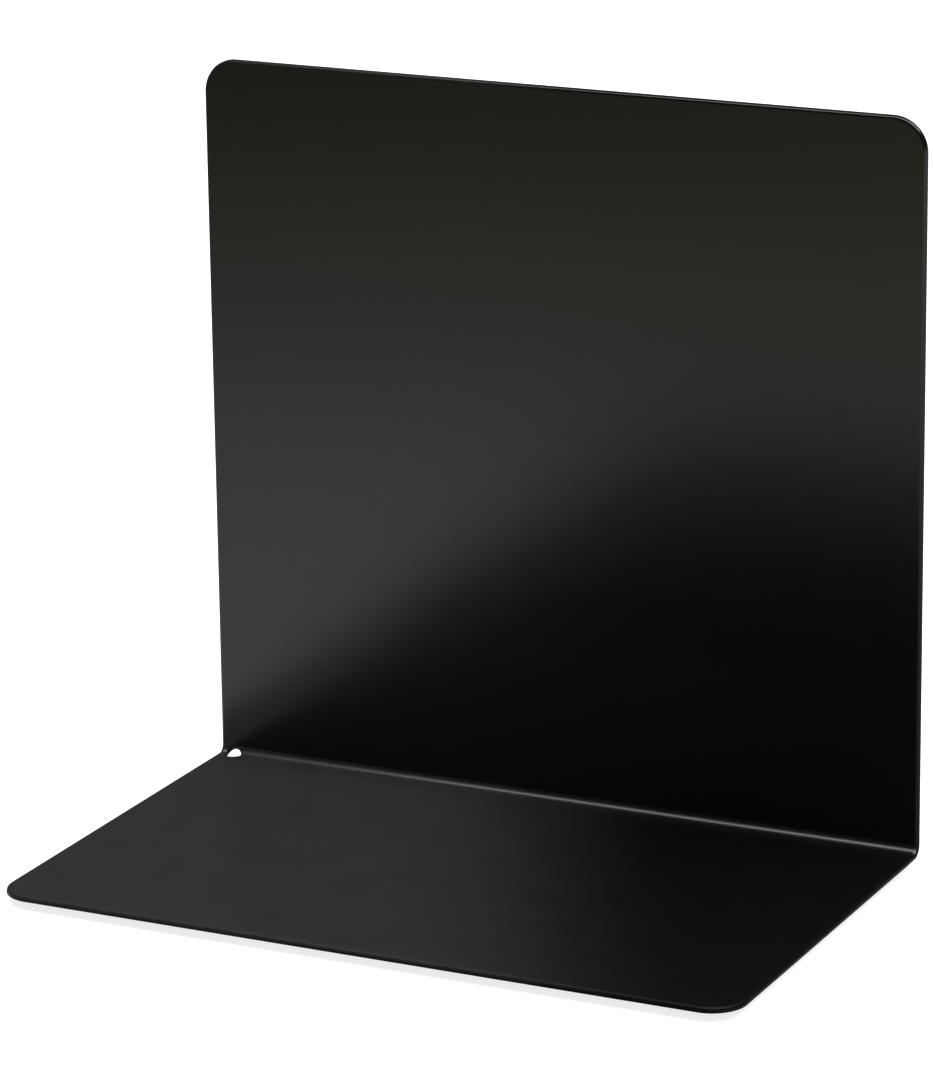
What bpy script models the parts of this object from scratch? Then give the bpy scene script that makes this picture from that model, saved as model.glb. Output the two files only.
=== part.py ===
"""A sheet-steel book end: one punched blank folded to an L, on four stick-on rubber feet.

Metres, +Z up. The books stand on the base, which points to -Y, and lean on the upright at +Y.
The origin is the centre of the footprint, on the surface that the feet stand on.
"""

from math import cos, pi, radians, sin

import bmesh
import bpy
from mathutils import Vector

# Overall sizes of the folded sheet.
WIDTH = 0.140
DEPTH = 0.085
HEIGHT = 0.1334
THICKNESS = 0.0010
CORNER_RADIUS = 0.0063
EDGE_ROUND = 0.0003  # the deburred and coated rim

# The fold between the base and the upright.
BEND_INNER_RADIUS = 0.0013
NEUTRAL_SHARE = 0.4  # where in the thickness the sheet keeps its length
BEND_STEPS = 12

# The hole that the blank hangs from while it is powder-coated, punched at the foot of the fold.
HANG_HOLE_RADIUS = 0.0014
HANG_HOLE_INSET = 0.0029  # its centre, from the sheet's left edge
HANG_HOLE_RISE = 0.0005  # its centre, along the blank from where the bend starts

# The feet under the base.
FOOT_RADIUS = 0.0055
FOOT_HEIGHT = 0.0014
FOOT_EDGE_ROUND = 0.0003
FOOT_INSET = 0.0120  # a foot's centre, from the base's front and side edges
FOOT_GAP = 0.0003  # filled by the adhesive film

CORNER_STEPS = 10
HOLE_STEPS = 24
RIM_RESOLUTION = 1
FOOT_STEPS = 32

# Sizes that follow from those above.
NEUTRAL_RADIUS = BEND_INNER_RADIUS + NEUTRAL_SHARE * THICKNESS
BEND_LENGTH = NEUTRAL_RADIUS * pi / 2
BEND_OUTER_RADIUS = BEND_INNER_RADIUS + THICKNESS
BASE_FLAT = DEPTH - BEND_OUTER_RADIUS
UPRIGHT_FLAT = HEIGHT - BEND_OUTER_RADIUS
BASE_UNDERSIDE = FOOT_HEIGHT + FOOT_GAP
FRONT_EDGE = -DEPTH / 2
BACK_FACE = DEPTH / 2


def clear_scene():
    for obj in list(bpy.data.objects):
        bpy.data.objects.remove(obj)


def material(name, colour, roughness, metallic=0.0):
    made = bpy.data.materials.new(name)
    made.use_nodes = True
    shader = made.node_tree.nodes["Principled BSDF"]
    shader.inputs["Base Color"].default_value = (*colour, 1.0)
    shader.inputs["Roughness"].default_value = roughness
    shader.inputs["Metallic"].default_value = metallic
    return made


def arc(centre_x, centre_y, radius, start, end, steps):
    """Points on an arc from angle start to angle end, both ends included."""
    turn = (end - start) / steps
    angles = [start + turn * i for i in range(steps + 1)]
    return [(centre_x + radius * cos(a), centre_y + radius * sin(a)) for a in angles]


def rounded_rectangle(low_x, low_y, high_x, high_y, radius, steps):
    corners = [
        (high_x - radius, high_y - radius, 0.0),
        (low_x + radius, high_y - radius, pi / 2),
        (low_x + radius, low_y + radius, pi),
        (high_x - radius, low_y + radius, 3 * pi / 2),
    ]
    points = []
    for centre_x, centre_y, start in corners:
        points += arc(centre_x, centre_y, radius, start, start + pi / 2, steps)
    return points


def plate(name, outlines, thickness, edge_round):
    """A flat plate from z 0 to thickness, with rounded rims. Its outlines are those of its flat
    faces, which stop edge_round short of the rim."""
    curve = bpy.data.curves.new(name, "CURVE")
    curve.dimensions = "2D"
    curve.fill_mode = "BOTH"
    curve.extrude = thickness / 2 - edge_round
    curve.bevel_depth = edge_round
    curve.bevel_resolution = RIM_RESOLUTION
    for outline in outlines:
        spline = curve.splines.new("POLY")
        spline.points.add(len(outline) - 1)
        spline.use_cyclic_u = True
        for point, (x, y) in zip(spline.points, outline):
            point.co = (x, y, 0.0, 1.0)
    helper = bpy.data.objects.new(name, curve)
    bpy.context.collection.objects.link(helper)
    graph = bpy.context.evaluated_depsgraph_get()
    mesh = bpy.data.meshes.new_from_object(helper.evaluated_get(graph))
    bpy.data.objects.remove(helper)
    bm = bmesh.new()
    bm.from_mesh(mesh)
    bmesh.ops.remove_doubles(bm, verts=bm.verts, dist=1e-7)
    bmesh.ops.dissolve_limit(bm, angle_limit=radians(1), verts=bm.verts, edges=bm.edges)
    bmesh.ops.translate(bm, verts=bm.verts, vec=(0, 0, thickness / 2))
    bmesh.ops.recalc_face_normals(bm, faces=bm.faces)
    return bm


def finish(bm, name, coating):
    mesh = bpy.data.meshes.new(name)
    bm.to_mesh(mesh)
    bm.free()
    mesh.materials.append(coating)
    mesh.shade_smooth()
    mesh.set_sharp_from_angle(angle=radians(30))
    obj = bpy.data.objects.new(name, mesh)
    bpy.context.collection.objects.link(obj)
    return obj


def folded(point):
    """Where a point of the flat blank goes when it is folded. In the blank, y 0 is where the base
    ends and the bend starts, and z runs from the underside to the face that the books touch."""
    x, along, through = point
    radius = BEND_OUTER_RADIUS - through
    if along <= 0:
        return Vector((x, along, through))
    if along >= BEND_LENGTH:
        return Vector((x, radius, BEND_OUTER_RADIUS + along - BEND_LENGTH))
    angle = along / NEUTRAL_RADIUS
    return Vector((x, radius * sin(angle), BEND_OUTER_RADIUS - radius * cos(angle)))


def folded_sheet(coating):
    """The blank is cut and punched flat, then folded by 90 degrees."""
    low_y, high_y = -BASE_FLAT, BEND_LENGTH + UPRIGHT_FLAT
    inner = EDGE_ROUND
    outline = rounded_rectangle(
        -WIDTH / 2 + inner,
        low_y + inner,
        WIDTH / 2 - inner,
        high_y - inner,
        CORNER_RADIUS - inner,
        CORNER_STEPS,
    )
    hole_x = -WIDTH / 2 + HANG_HOLE_INSET
    hole = arc(hole_x, HANG_HOLE_RISE, HANG_HOLE_RADIUS + inner, 0.0, 2 * pi, HOLE_STEPS)[:-1]
    bm = plate("folded_sheet", [outline, hole], THICKNESS, EDGE_ROUND)
    for step in range(BEND_STEPS + 1):
        bmesh.ops.bisect_plane(
            bm,
            geom=bm.verts[:] + bm.edges[:] + bm.faces[:],
            plane_co=(0, BEND_LENGTH * step / BEND_STEPS, 0),
            plane_no=(0, 1, 0),
        )
    for vert in bm.verts:
        vert.co = folded(vert.co)
    sheet = finish(bm, "folded_sheet", coating)
    sheet.location = (0, BACK_FACE - BEND_OUTER_RADIUS, BASE_UNDERSIDE)
    return sheet


def foot(name, x, y, rubber):
    rim = arc(0, 0, FOOT_RADIUS - FOOT_EDGE_ROUND, 0.0, 2 * pi, FOOT_STEPS)[:-1]
    bm = plate(name, [rim], FOOT_HEIGHT, FOOT_EDGE_ROUND)
    obj = finish(bm, name, rubber)
    obj.location = (x, y, 0)
    return obj


def feet(rubber):
    side = WIDTH / 2 - FOOT_INSET
    front = FRONT_EDGE + FOOT_INSET
    back = BACK_FACE - FOOT_INSET
    for row, y in (("front", front), ("back", back)):
        for hand, x in (("left", -side), ("right", side)):
            foot(f"{row}_{hand}_foot", x, y, rubber)


def main():
    clear_scene()
    folded_sheet(material("black powder coat", (0.010, 0.010, 0.009), 0.38))
    feet(material("black foot rubber", (0.020, 0.020, 0.020), 0.80))


main()
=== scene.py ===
"""The looks of a black sheet-steel book end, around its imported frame."""

from math import atan2, cos, pi, radians, sin

import bmesh
import bpy
from mathutils import Matrix, Vector


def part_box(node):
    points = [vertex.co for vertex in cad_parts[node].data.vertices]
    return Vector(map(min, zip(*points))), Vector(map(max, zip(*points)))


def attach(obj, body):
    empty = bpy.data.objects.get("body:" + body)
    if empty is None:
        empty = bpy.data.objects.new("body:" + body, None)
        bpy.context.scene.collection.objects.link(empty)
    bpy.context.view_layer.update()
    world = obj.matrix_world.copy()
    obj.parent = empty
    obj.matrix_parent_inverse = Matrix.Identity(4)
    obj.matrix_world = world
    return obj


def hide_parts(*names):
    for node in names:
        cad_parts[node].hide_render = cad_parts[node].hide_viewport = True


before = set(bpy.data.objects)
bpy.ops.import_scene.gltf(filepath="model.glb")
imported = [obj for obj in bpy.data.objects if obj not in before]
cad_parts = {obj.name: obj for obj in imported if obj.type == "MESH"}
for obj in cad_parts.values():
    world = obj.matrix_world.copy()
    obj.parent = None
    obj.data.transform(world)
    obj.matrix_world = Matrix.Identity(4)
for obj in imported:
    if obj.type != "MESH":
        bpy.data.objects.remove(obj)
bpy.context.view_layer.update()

# The camera, at the front right and above. Its aim is given from the middle of the fold.
AZIMUTH = radians(26.01)
ELEVATION = radians(16.47)
ROLL = radians(-0.73)
DISTANCE = 0.9553
AIM_RIGHT = -0.0163
AIM_UP = 0.0486
LENS_MM = 174.2
SENSOR_MM = 36

# The folded sheet. Its overall sizes are those of its CAD node.
SHEET_LOW, SHEET_HIGH = (Vector(corner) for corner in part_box("folded_sheet"))
THICKNESS = 0.0010
CORNER_RADIUS = 0.0063
PUNCH_ROLL_WIDTH, PUNCH_ROLL_DEPTH = 0.0007, 0.0007  # where the punch went in
BURR_ROUND = 0.00015  # where it came out, deburred
BEND_INNER_RADIUS = 0.0013
NEUTRAL_SHARE = 0.4  # where in the thickness the sheet keeps its length
HANG_HOLE_RADIUS = 0.0014
HANG_HOLE_INSET = 0.0029  # its centre, from the sheet's left edge
HANG_HOLE_RISE = 0.0005  # its centre, along the blank from where the bend starts

BEND_OUTER_RADIUS = BEND_INNER_RADIUS + THICKNESS
NEUTRAL_RADIUS = BEND_INNER_RADIUS + NEUTRAL_SHARE * THICKNESS
BEND_LENGTH = NEUTRAL_RADIUS * pi / 2
BASE_FLAT = SHEET_HIGH.y - SHEET_LOW.y - BEND_OUTER_RADIUS
UPRIGHT_FLAT = SHEET_HIGH.z - SHEET_LOW.z - BEND_OUTER_RADIUS

CORNER_STEPS = 24
HOLE_STEPS = 64
RIM_STEPS = 10
BEND_STEPS = 32
SAME_PLACE = 1e-7
NEARLY_FLAT = radians(0.5)  # faces that meet at less than this become one
SHARP = radians(40)
FLAT_FACE_WEIGHT = 100

# The feet and their adhesive films.
FOOT_NODES = ("front_left_foot", "front_right_foot", "back_left_foot", "back_right_foot")
FOOT_STEPS = 96
DISH_STEPS, LOWER_STEPS, UPPER_STEPS = 6, 8, 5
FOOT_DRAFT = 0.0003
LOWER_ROUND = 0.0004
UPPER_ROUND = 0.00015
FOOT_LAND = 0.0011  # the ring of the sole that touches the table
DISH_DEPTH = 0.00025
DISH_ROUND = 0.0004
FILM_INSET = 0.0002
FILM_GAP = 0.00001

# Colours and roughnesses, each from its lowest to its highest. A noise is given by its cells to
# the metre and its detail.
NOISE_RANGE = (0.3, 0.7)  # what a noise mostly stays within
COAT_COLOURS = (0.0018, 0.0016, 0.0015), (0.0021, 0.0019, 0.0018)
COAT_ROUGHNESS = (0.19, 0.21)
BEND_ROUGHNESS = (0.35, 0.37)
COAT_MOTTLE, COAT_GLOSS = (160, 4), (240, 4)
PEEL, PEEL_HEIGHT = (700, 2), 0.0000012
GRAIN, GRAIN_HEIGHT = (4500, 2), 0.0000004
RUBBER_COLOURS = (0.012, 0.012, 0.012), (0.019, 0.019, 0.019)
RUBBER_ROUGHNESS = (0.66, 0.80)
RUBBER_MOTTLE, RUBBER_GLOSS = (300, 3), (900, 4)
RUBBER_GRAIN, RUBBER_GRAIN_HEIGHT = (2600, 3), 0.00001
FILM_COLOURS = (0.022, 0.022, 0.023), (0.034, 0.034, 0.036)
FILM_MOTTLE = (1500, 3)
FILM_ROUGHNESS = 0.55

# The floor and the surroundings, by the kind of ray that meets them.
FLOOR_RADIUS = 6.0
FLOOR_STEPS = 96
FLOOR_ALBEDO = 0.35
FLOOR_ROUGHNESS = 0.9
FLOOR_GLOW = 0.80
WHITE = (1, 1, 1, 1)
GLOW_DIFFUSE, GLOW_REFLECTED, GLOW_SEEN = 0.45, 0.02, 0.76

# Painted table reflection on a glowing card: lit in front and on the left, book end's painted shadow
# on the right.
TABLE_REACH = 2.5
TABLE_RISE = 0.0002
LIT_FRONT = -0.15  # ahead of this y the light falls to 1 / e over each LIT_FADE
LIT_FADE = 0.35
LIT_LEFT, LIT_RIGHT, LIT_SPAN = 0.17, 2.33, 0.6  # the glow at x -LIT_SPAN and at x LIT_SPAN
SHADE_LEFT, SHADE_LEFT_BLUR = -0.085, 0.006  # the shade's left side
SHADE_FRONT, SHADE_FRONT_BLUR = -0.214, 0.10  # its front
OUTLINE_BLUR = 0.006
BEHIND_GLOW, BEHIND_FAR_GLOW, BEHIND_FAR = 0.28, 0.80, 0.45  # the glow in it behind the upright
BESIDE_GLOW, BESIDE_FAR_GLOW, BESIDE_FAR = 0.20, 0.60, 0.40  # and on the right of the base
RIM_GLOW, RIM_REACH = 0.30, 0.010  # and from the front edge backwards, strongest on the left
NEAR_TINT = (1.0, 1.0, 0.98)
FAR_TINT = (1.0, 1.0, 0.42)
FAR_FADING, NEAR_FADING = 0.20, 0.75  # how much light is left where each tint is full

# The softbox for the highlight in the fold, and the black cards that keep it out of other places.
SOFTBOX_CENTRE = (0.55, 0.1, 2.0)
SOFTBOX_SIZE = (3.0, 2.2)
SOFTBOX_RADIANCE = 7.4
FIRST_BOUNCE_DEPTH = 2.5  # a ray that meets it after one bounce has a depth of 1 or 2
FLAG_RISE = 0.001
FLAG_REACH = 0.001
FRONT_FLAG_OUTWARD, FRONT_FLAG_INWARD = 0.0025, 0.0016
TOP_FLAG_AHEAD, TOP_FLAG_BEHIND = 0.0002, 0.0013
LEFT_FLAG_Z = 0.22
LEFT_FLAG_EDGE, LEFT_FLAG_FAR, LEFT_FLAG_DEPTH = -0.12, -0.60, 0.15

# The light on the left of the base. Its right side lies along the camera's view.
BASE_LIGHT_TURN = AZIMUTH
BASE_LIGHT_EDGE = 0.0108  # its right side, from the origin
BASE_LIGHT_WIDTH, BASE_LIGHT_LENGTH = 0.25, 0.40
BASE_LIGHT_HEIGHT = 0.35
BASE_LIGHT_BLUR = 0.032
BASE_LIGHT_IRRADIANCE = 54.0
BASE_LIGHT_COLOUR = (0.92, 1.0, 1.0)


def add_camera():
    back = Vector((sin(AZIMUTH) * cos(ELEVATION), -cos(AZIMUTH) * cos(ELEVATION), sin(ELEVATION)))
    right = Vector((cos(AZIMUTH), sin(AZIMUTH), 0))
    up = back.cross(right)
    fold = Vector((0, SHEET_HIGH.y - THICKNESS, SHEET_LOW.z))
    place = fold + back * DISTANCE + right * AIM_RIGHT + up * AIM_UP
    turn = Matrix((right, up, back)).transposed().to_4x4() @ Matrix.Rotation(ROLL, 4, "Z")
    camera = bpy.data.cameras.new("camera")
    camera.lens = LENS_MM
    camera.sensor_width = SENSOR_MM
    obj = bpy.data.objects.new("camera", camera)
    obj.matrix_world = Matrix.Translation(place) @ turn
    bpy.context.collection.objects.link(obj)
    bpy.context.scene.camera = obj


def new_object(name, bm, material):
    mesh = bpy.data.meshes.new(name)
    bm.to_mesh(mesh)
    bm.free()
    mesh.materials.append(material)
    obj = bpy.data.objects.new(name, mesh)
    bpy.context.collection.objects.link(obj)
    return obj


def new_material(name):
    """A node material, its tree, and its Principled shader."""
    material = bpy.data.materials.new(name)
    material.use_nodes = True
    tree = material.node_tree
    return material, tree, tree.nodes["Principled BSDF"]


def noise(tree, pattern):
    """Noise in the object's own space."""
    scale, detail = pattern
    where = tree.nodes.new("ShaderNodeTexCoord")
    node = tree.nodes.new("ShaderNodeTexNoise")
    node.inputs["Scale"].default_value = scale
    node.inputs["Detail"].default_value = detail
    tree.links.new(where.outputs["Object"], node.inputs["Vector"])
    return node.outputs["Fac"]


def remap(tree, value, low, high, start, end):
    """From low to high while the value goes from start to end, and level beyond them."""
    node = tree.nodes.new("ShaderNodeMapRange")
    node.inputs["From Min"].default_value = start
    node.inputs["From Max"].default_value = end
    node.inputs["To Min"].default_value = low
    node.inputs["To Max"].default_value = high
    tree.links.new(value, node.inputs["Value"])
    return node.outputs["Result"]


def mottled(tree, pattern, low, high):
    """Noise between low and high."""
    return remap(tree, noise(tree, pattern), low, high, *NOISE_RANGE)


def blend_colours(tree, value, first, second):
    """From the first colour to the second while the value goes from 0 to 1."""
    node = tree.nodes.new("ShaderNodeMix")
    node.data_type = "RGBA"
    node.inputs["A"].default_value = (*first, 1)
    node.inputs["B"].default_value = (*second, 1)
    tree.links.new(value, node.inputs["Factor"])
    return node.outputs["Result"]


def bump(tree, height, distance, below=None):
    """A surface raised by up to this distance, on top of the bump below it, if there is one."""
    node = tree.nodes.new("ShaderNodeBump")
    node.inputs["Strength"].default_value = 1.0
    node.inputs["Distance"].default_value = distance
    tree.links.new(height, node.inputs["Height"])
    if below:
        tree.links.new(below, node.inputs["Normal"])
    return node.outputs["Normal"]


def powder_coat(name, roughness):
    material, tree, shader = new_material(name)
    colour = blend_colours(tree, mottled(tree, COAT_MOTTLE, 0, 1), *COAT_COLOURS)
    tree.links.new(colour, shader.inputs["Base Color"])
    gloss = mottled(tree, COAT_GLOSS, *roughness)
    tree.links.new(gloss, shader.inputs["Roughness"])
    peel = bump(tree, noise(tree, PEEL), PEEL_HEIGHT)
    grain = bump(tree, noise(tree, GRAIN), GRAIN_HEIGHT, peel)
    tree.links.new(grain, shader.inputs["Normal"])
    return material


def foot_rubber():
    material, tree, shader = new_material("black foot rubber")
    colour = blend_colours(tree, mottled(tree, RUBBER_MOTTLE, 0, 1), *RUBBER_COLOURS)
    tree.links.new(colour, shader.inputs["Base Color"])
    gloss = mottled(tree, RUBBER_GLOSS, *RUBBER_ROUGHNESS)
    tree.links.new(gloss, shader.inputs["Roughness"])
    grain = bump(tree, noise(tree, RUBBER_GRAIN), RUBBER_GRAIN_HEIGHT)
    tree.links.new(grain, shader.inputs["Normal"])
    return material


def adhesive_film():
    material, tree, shader = new_material("adhesive film")
    colour = blend_colours(tree, mottled(tree, FILM_MOTTLE, 0, 1), *FILM_COLOURS)
    tree.links.new(colour, shader.inputs["Base Color"])
    shader.inputs["Roughness"].default_value = FILM_ROUGHNESS
    return material


def arc(centre_x, centre_y, radius, start, end, steps):
    """Points on an arc from angle start to angle end, both ends included."""
    turn = (end - start) / steps
    angles = [start + turn * i for i in range(steps + 1)]
    return [(centre_x + radius * cos(a), centre_y + radius * sin(a)) for a in angles]


def rounded_rectangle(low_x, low_y, high_x, high_y, radius, steps):
    corners = [
        (high_x - radius, high_y - radius, 0.0),
        (low_x + radius, high_y - radius, pi / 2),
        (low_x + radius, low_y + radius, pi),
        (high_x - radius, low_y + radius, 3 * pi / 2),
    ]
    points = []
    for centre_x, centre_y, start in corners:
        points += arc(centre_x, centre_y, radius, start, start + pi / 2, steps)
    return points


def rim_profile():
    """(inset, height) of the blank's cut edge, from its underside to the face the books touch."""
    profile = arc(BURR_ROUND, BURR_ROUND, BURR_ROUND, -pi / 2, -pi, RIM_STEPS)
    roll = arc(1.0, 0.0, 1.0, pi, pi / 2, RIM_STEPS)
    roll_foot = THICKNESS - PUNCH_ROLL_DEPTH
    return profile + [(x * PUNCH_ROLL_WIDTH, roll_foot + z * PUNCH_ROLL_DEPTH) for x, z in roll]


def blank_outline(inset):
    """The flat blank's outline, this far in from its edge. The bend starts at y 0."""
    low_y, high_y = -BASE_FLAT, BEND_LENGTH + UPRIGHT_FLAT
    return rounded_rectangle(
        SHEET_LOW.x + inset,
        low_y + inset,
        SHEET_HIGH.x - inset,
        high_y - inset,
        CORNER_RADIUS - inset,
        CORNER_STEPS,
    )


def hang_hole(inset):
    """The hole that the blank hangs from while it is coated, this far out from its edge."""
    centre_x = SHEET_LOW.x + HANG_HOLE_INSET
    return arc(centre_x, HANG_HOLE_RISE, HANG_HOLE_RADIUS + inset, 0.0, 2 * pi, HOLE_STEPS)[:-1]


def blank():
    """The flat blank, with its rim lofted through one outline for each point of the rim's profile."""
    bm = bmesh.new()
    profile = rim_profile()
    for outline in (blank_outline, hang_hole):
        rings = []
        for inset, height in profile:
            rings.append([bm.verts.new((x, y, height)) for x, y in outline(inset)])
        for lower, upper in zip(rings, rings[1:]):
            for i in range(len(lower)):
                bm.faces.new((lower[i - 1], lower[i], upper[i], upper[i - 1]))
    open_edges = [edge for edge in bm.edges if edge.is_boundary]
    for height in (profile[0][1], profile[-1][1]):
        rim = [e for e in open_edges if all(abs(v.co.z - height) < SAME_PLACE for v in e.verts)]
        bmesh.ops.triangle_fill(bm, use_beauty=True, edges=rim)
    bmesh.ops.dissolve_limit(bm, angle_limit=NEARLY_FLAT, verts=bm.verts, edges=bm.edges)
    bmesh.ops.recalc_face_normals(bm, faces=bm.faces)
    return bm


def folded(point):
    """Where a point of the flat blank goes when it is folded, from where the bend starts."""
    x, along, through = point
    radius = BEND_OUTER_RADIUS - through
    if along <= 0:
        return Vector((x, along, through))
    if along >= BEND_LENGTH:
        return Vector((x, radius, BEND_OUTER_RADIUS + along - BEND_LENGTH))
    angle = along / NEUTRAL_RADIUS
    return Vector((x, radius * sin(angle), BEND_OUTER_RADIUS - radius * cos(angle)))


def smooth(obj):
    """Smooth shading that leaves large flat faces flat up to their roundings."""
    obj.data.shade_smooth()
    obj.data.set_sharp_from_angle(angle=SHARP)
    modifier = obj.modifiers.new("flat faces stay flat", "WEIGHTED_NORMAL")
    modifier.mode = "FACE_AREA"
    modifier.weight = FLAT_FACE_WEIGHT
    modifier.keep_sharp = True


def folded_sheet(flat_coat, bend_coat):
    """The blank, bent. The coat is a little rougher in the bend."""
    bm = blank()
    for i in range(BEND_STEPS + 1):
        bmesh.ops.bisect_plane(
            bm,
            geom=bm.verts[:] + bm.edges[:] + bm.faces[:],
            plane_co=(0, BEND_LENGTH * i / BEND_STEPS, 0),
            plane_no=(0, 1, 0),
        )
    for face in bm.faces:
        if 0 < face.calc_center_median().y < BEND_LENGTH:
            face.material_index = 1
    for vert in bm.verts:
        vert.co = folded(vert.co)
    sheet = new_object("sheet", bm, flat_coat)
    sheet.data.materials.append(bend_coat)
    sheet.location = (0, SHEET_HIGH.y - BEND_OUTER_RADIUS, SHEET_LOW.z)
    smooth(sheet)
    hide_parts("folded_sheet")
    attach(sheet, "root")
    return sheet


def turned(profile):
    """A closed solid from a profile of (radius, height) points, first and last on the axis."""
    bm = bmesh.new()
    verts = [bm.verts.new((radius, 0, height)) for radius, height in profile]
    edges = [bm.edges.new(pair) for pair in zip(verts, verts[1:])]
    bmesh.ops.spin(
        bm,
        geom=verts + edges,
        axis=(0, 0, 1),
        cent=(0, 0, 0),
        angle=2 * pi,
        steps=FOOT_STEPS,
    )
    bmesh.ops.remove_doubles(bm, verts=bm.verts, dist=SAME_PLACE)
    bmesh.ops.recalc_face_normals(bm, faces=bm.faces)
    return bm


def foot_profile(radius, height):
    """A drafted side, a rounded lower edge and a dished sole."""
    sole = radius - FOOT_DRAFT
    dish = sole - FOOT_LAND - DISH_ROUND
    profile = [(0.0, DISH_DEPTH)]
    profile += arc(dish, DISH_DEPTH - DISH_ROUND, DISH_ROUND, pi / 2, pi / 4, DISH_STEPS)
    profile += arc(sole - LOWER_ROUND, LOWER_ROUND, LOWER_ROUND, -pi / 2, 0, LOWER_STEPS)
    profile += arc(radius - UPPER_ROUND, height - UPPER_ROUND, UPPER_ROUND, 0, pi / 2, UPPER_STEPS)
    profile.append((0.0, height))
    return profile


def film_profile(radius, foot_height):
    """A thin disc between a foot and the base."""
    low, high = foot_height + FILM_GAP, SHEET_LOW.z - FILM_GAP
    rim = radius - FILM_INSET
    return [(0.0, low), (rim, low), (rim, high), (0.0, high)]


def add_feet(rubber, film):
    """Turned rubber feet on adhesive films."""
    for node in FOOT_NODES:
        low, high = (Vector(corner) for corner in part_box(node))
        radius, height = (high.x - low.x) / 2, high.z
        foot = new_object(node + "_turned", turned(foot_profile(radius, height)), rubber)
        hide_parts(node)
        tape = new_object(node + "_film", turned(film_profile(radius, height)), film)
        for piece in (foot, tape):
            smooth(piece)
            piece.location = ((low.x + high.x) / 2, (low.y + high.y) / 2, 0)
            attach(piece, "root")


def add_floor():
    material, _, shader = new_material("floor")
    shader.inputs["Base Color"].default_value = (*[FLOOR_ALBEDO] * 3, 1)
    shader.inputs["Roughness"].default_value = FLOOR_ROUGHNESS
    shader.inputs["Specular IOR Level"].default_value = 0.0
    shader.inputs["Emission Color"].default_value = WHITE
    shader.inputs["Emission Strength"].default_value = FLOOR_GLOW
    bm = bmesh.new()
    bmesh.ops.create_circle(bm, cap_ends=True, radius=FLOOR_RADIUS, segments=FLOOR_STEPS)
    new_object("floor", bm, material)


def emission(name):
    """A material that only glows, its tree, and its emission node."""
    material = bpy.data.materials.new(name)
    material.use_nodes = True
    tree = material.node_tree
    tree.nodes.clear()
    glow = tree.nodes.new("ShaderNodeEmission")
    output = tree.nodes.new("ShaderNodeOutputMaterial")
    tree.links.new(glow.outputs["Emission"], output.inputs["Surface"])
    return material, tree, glow


def combine(tree, operation, first, second):
    """A math node's result from two values, each a float or a socket."""
    node = tree.nodes.new("ShaderNodeMath")
    node.operation = operation
    for socket, value in zip(node.inputs, (first, second)):
        if isinstance(value, float):
            socket.default_value = value
        else:
            tree.links.new(value, socket)
    return node.outputs["Value"]


def soft_step(tree, value, middle, blur):
    """0 below the middle and 1 above it, with a smooth passage of this width."""
    result = remap(tree, value, 0.0, 1.0, middle - blur / 2, middle + blur / 2)
    result.node.interpolation_type = "SMOOTHSTEP"
    return result


def table_glow(tree, x, y):
    """The card's painted glow at (x, y), and how much of its light is left there as it fades
    forwards.
    """
    ahead = combine(tree, "MAXIMUM", combine(tree, "SUBTRACT", LIT_FRONT, y), 0.0)
    fading = combine(tree, "EXPONENT", combine(tree, "MULTIPLY", ahead, -1 / LIT_FADE), 0.0)
    across = remap(tree, x, LIT_LEFT, LIT_RIGHT, -LIT_SPAN, LIT_SPAN)
    lit = combine(tree, "MULTIPLY", fading, across)

    glow = remap(tree, y, BEHIND_GLOW, BEHIND_FAR_GLOW, SHEET_HIGH.y, BEHIND_FAR)
    behind = combine(tree, "MULTIPLY", glow, soft_step(tree, y, SHEET_HIGH.y, OUTLINE_BLUR))
    glow = remap(tree, x, BESIDE_GLOW, BESIDE_FAR_GLOW, SHEET_HIGH.x, BESIDE_FAR)
    beside = combine(tree, "MULTIPLY", glow, soft_step(tree, x, SHEET_HIGH.x, OUTLINE_BLUR))
    glow = remap(tree, x, RIM_GLOW, 0.0, SHEET_LOW.x, SHEET_HIGH.x)
    rim = combine(tree, "MULTIPLY", glow, soft_step(tree, y, SHEET_LOW.y - RIM_REACH, RIM_REACH))
    shaded = combine(tree, "MAXIMUM", combine(tree, "MAXIMUM", behind, beside), rim)

    # the painted shadow of the book end; inside it only the glows above are left
    shade_x = soft_step(tree, x, SHADE_LEFT, SHADE_LEFT_BLUR)
    shade_y = soft_step(tree, y, SHADE_FRONT, SHADE_FRONT_BLUR)
    strength = tree.nodes.new("ShaderNodeMix")
    tree.links.new(combine(tree, "MULTIPLY", shade_x, shade_y), strength.inputs["Factor"])
    tree.links.new(lit, strength.inputs["A"])
    tree.links.new(shaded, strength.inputs["B"])
    return strength.outputs["Result"], fading


def add_painted_table_reflection():
    """A glowing card painted as the table top the book end mirrors: painted light, and a painted
    shadow where the book end would throw one forwards if it were lit from behind. Only reflections
    see it."""
    material, tree, glow = emission("painted table reflection")
    where = tree.nodes.new("ShaderNodeNewGeometry")
    split = tree.nodes.new("ShaderNodeSeparateXYZ")
    tree.links.new(where.outputs["Position"], split.inputs["Vector"])
    strength, fading = table_glow(tree, split.outputs["X"], split.outputs["Y"])
    tree.links.new(strength, glow.inputs["Strength"])
    nearness = remap(tree, fading, 0, 1, FAR_FADING, NEAR_FADING)
    tree.links.new(blend_colours(tree, nearness, FAR_TINT, NEAR_TINT), glow.inputs["Color"])
    bm = bmesh.new()
    bmesh.ops.create_grid(bm, x_segments=1, y_segments=1, size=TABLE_REACH)
    table = new_object("painted_table_reflection", bm, material)
    table.location.z = TABLE_RISE
    only_reflected(table)


def only_reflected(card):
    """A card of the studio that only glossy rays meet."""
    for ray in ("camera", "diffuse", "transmission", "volume_scatter", "shadow"):
        setattr(card, "visible_" + ray, False)


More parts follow.
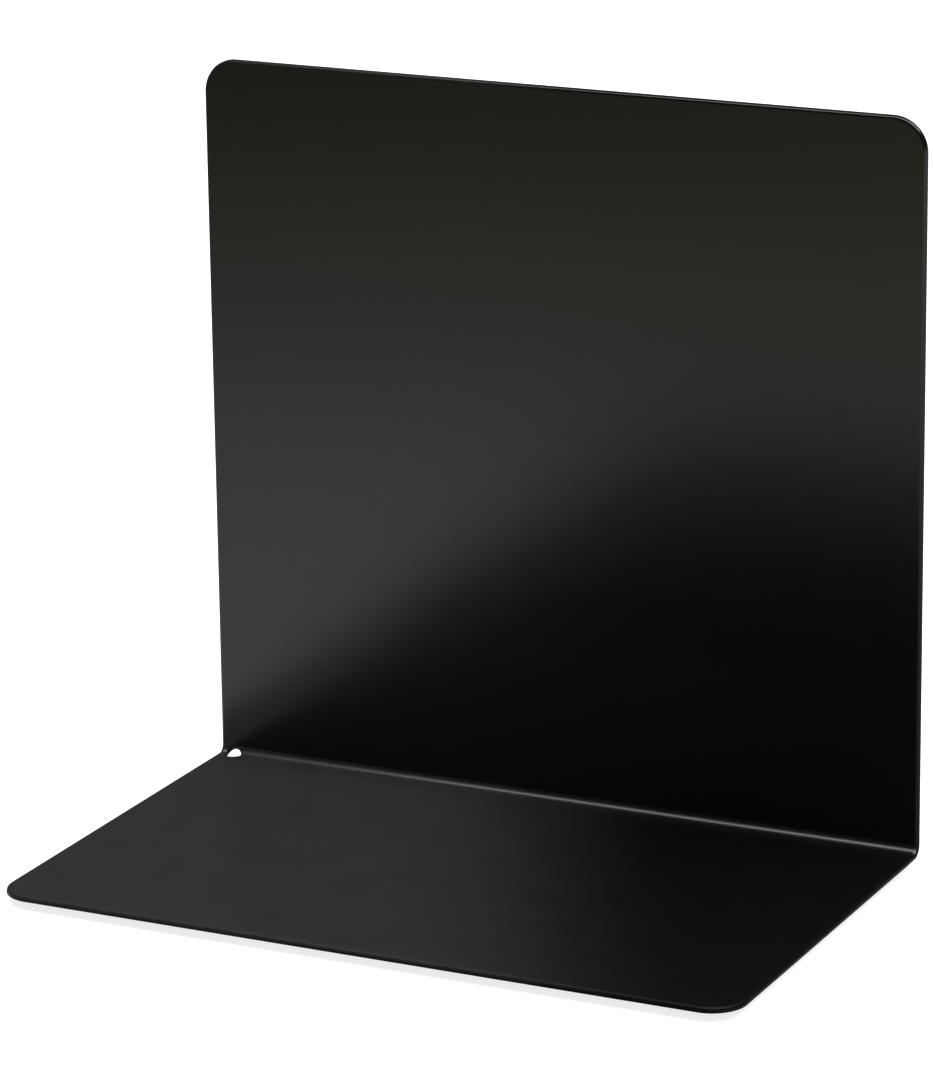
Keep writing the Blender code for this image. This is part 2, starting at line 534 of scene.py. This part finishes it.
def add_softbox():
    """A level softbox overhead. It counts only where a ray meets it after its first bounce."""
    light = bpy.data.lights.new("overhead softbox", "AREA")
    light.shape = "RECTANGLE"
    light.size, light.size_y = SOFTBOX_SIZE
    light.energy = SOFTBOX_RADIANCE * pi * light.size * light.size_y
    light.use_nodes = True
    tree = light.node_tree
    path = tree.nodes.new("ShaderNodeLightPath")
    early = combine(tree, "LESS_THAN", path.outputs["Ray Depth"], FIRST_BOUNCE_DEPTH)
    tree.links.new(early, tree.nodes["Emission"].inputs["Strength"])
    obj = bpy.data.objects.new("overhead softbox", light)
    obj.location = SOFTBOX_CENTRE
    obj.visible_camera = False
    bpy.context.collection.objects.link(obj)


def add_flag(name, outer, inner, z):
    """A level black card between two runs of (x, y) points, which keeps the softbox out of part of
    the sheet's reflections."""
    material, _, glow = emission(name)
    glow.inputs["Strength"].default_value = 0.0
    bm = bmesh.new()
    runs = [[bm.verts.new((x, y, z)) for x, y in run] for run in (outer, inner)]
    for i in range(len(outer) - 1):
        bm.faces.new((runs[0][i], runs[0][i + 1], runs[1][i + 1], runs[1][i]))
    only_reflected(new_object(name, bm, material))


def front_rim(inset):
    """The sheet's outline along the base's front edge and round its two corners."""
    start = SHEET_HIGH.y - BEND_OUTER_RADIUS
    return [(x, y + start) for x, y in blank_outline(inset) if y < CORNER_RADIUS - BASE_FLAT]


def add_straight_flag(name, low_x, high_x, low_y, high_y, z):
    add_flag(name, [(low_x, low_y), (high_x, low_y)], [(low_x, high_y), (high_x, high_y)], z)


def add_flags():
    """One just above the base's front edge, one just above the upright's top edge, and one high
    over the left, for the fold's left end."""
    z = SHEET_LOW.z + THICKNESS + FLAG_RISE
    add_flag("front_flag", front_rim(-FRONT_FLAG_OUTWARD), front_rim(FRONT_FLAG_INWARD), z)
    fold = SHEET_HIGH.y - THICKNESS
    reach = SHEET_HIGH.x + FLAG_REACH
    z = SHEET_HIGH.z + FLAG_RISE
    add_straight_flag("top_flag", -reach, reach, fold - TOP_FLAG_AHEAD, fold + TOP_FLAG_BEHIND, z)
    ahead = fold - LEFT_FLAG_DEPTH
    add_straight_flag("left_flag", LEFT_FLAG_FAR, LEFT_FLAG_EDGE, ahead, fold, LEFT_FLAG_Z)


def add_base_light(sheet):
    """A soft straight-down light on the left of the base, which only the sheet receives."""
    across = Vector((cos(BASE_LIGHT_TURN), sin(BASE_LIGHT_TURN), 0))
    light = bpy.data.lights.new("base light", "AREA")
    light.shape = "RECTANGLE"
    light.size, light.size_y = BASE_LIGHT_WIDTH, BASE_LIGHT_LENGTH
    light.color = BASE_LIGHT_COLOUR
    light.energy = BASE_LIGHT_IRRADIANCE * BASE_LIGHT_WIDTH * BASE_LIGHT_LENGTH
    light.spread = 2 * atan2(BASE_LIGHT_BLUR, BASE_LIGHT_HEIGHT)
    obj = bpy.data.objects.new("base light", light)
    obj.location = across * (BASE_LIGHT_EDGE - BASE_LIGHT_WIDTH / 2)
    obj.location.z = BASE_LIGHT_HEIGHT
    obj.rotation_euler = (0, 0, BASE_LIGHT_TURN)
    obj.visible_camera = False
    obj.visible_glossy = False
    receivers = bpy.data.collections.new("lit by the base light")
    receivers.objects.link(sheet)
    obj.light_linking.receiver_collection = receivers
    bpy.context.collection.objects.link(obj)


def add_world():
    """A plain surrounding with one glow for light, one for reflections and one for the picture."""
    world = bpy.data.worlds.new("studio")
    world.use_nodes = True
    tree = world.node_tree
    path = tree.nodes.new("ShaderNodeLightPath")
    result = tree.nodes["Background"]
    result.inputs["Color"].default_value = WHITE
    result.inputs["Strength"].default_value = GLOW_DIFFUSE
    for ray, strength in (("Is Glossy Ray", GLOW_REFLECTED), ("Is Camera Ray", GLOW_SEEN)):
        glow = tree.nodes.new("ShaderNodeBackground")
        glow.inputs["Color"].default_value = WHITE
        glow.inputs["Strength"].default_value = strength
        choice = tree.nodes.new("ShaderNodeMixShader")
        tree.links.new(path.outputs[ray], choice.inputs["Fac"])
        tree.links.new(result.outputs[0], choice.inputs[1])
        tree.links.new(glow.outputs[0], choice.inputs[2])
        result = choice
    tree.links.new(result.outputs[0], tree.nodes["World Output"].inputs["Surface"])
    bpy.context.scene.world = world


add_camera()
flat_coat = powder_coat("powder coat", COAT_ROUGHNESS)
bend_coat = powder_coat("powder coat in the bend", BEND_ROUGHNESS)
sheet = folded_sheet(flat_coat, bend_coat)
add_feet(foot_rubber(), adhesive_film())
add_floor()
add_painted_table_reflection()
add_flags()
add_base_light(sheet)
add_softbox()
add_world()
bpy.context.scene.view_settings.view_transform = "Standard"
